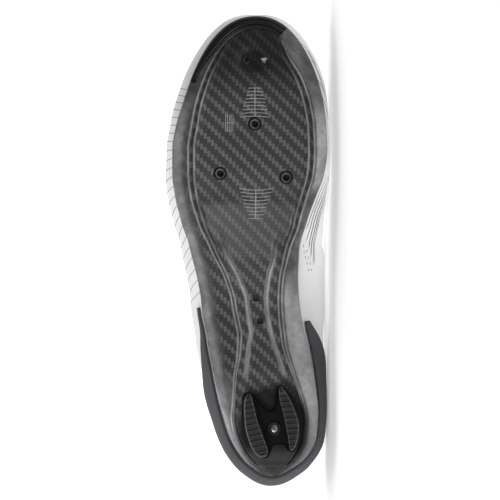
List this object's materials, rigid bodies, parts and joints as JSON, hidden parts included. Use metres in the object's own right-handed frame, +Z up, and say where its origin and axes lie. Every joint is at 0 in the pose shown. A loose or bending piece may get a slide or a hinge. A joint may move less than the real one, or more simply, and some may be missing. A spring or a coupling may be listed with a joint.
{
  "type": "cycling shoe",
  "caption": "Right road-cycling shoe lying on its medial side: ribbed carbon sole with cleat bolt seats, white upper, grey heel cup and strap closure.",
  "frame": {"origin": "middle of the shoe's box, on the surface that it lies on", "axes": "+X from heel to toe, +Z up from the medial side to the lateral side, the sole facing -Y"},
  "size_m": [0.2654, 0.1016, 0.092],
  "materials": {
    "carbon": "clear-coated carbon twill",
    "black_rubber": "satin",
    "black_plastic": "satin",
    "steel": "machined",
    "white_microfibre": "smooth satin microfibre",
    "grey_shell": "satin",
    "black_lining": "knit",
    "white_strap": "matt"
  },
  "bodies": {
    "root": {"outsole": "carbon", "toe_bumper": "black_rubber", "heel_pad": "black_plastic", "heel_screw": "steel", "insert_front": "steel", "insert_lateral": "steel", "insert_medial": "steel", "ring_front": "black_plastic", "ring_lateral": "black_plastic", "ring_medial": "black_plastic", "upper": "white_microfibre", "heel_counter": "grey_shell", "tongue": "black_lining", "insole": "black_lining", "strap_front": "white_strap", "strap_middle": "white_strap", "strap_instep": "white_strap"}
  },
  "joints": []
}
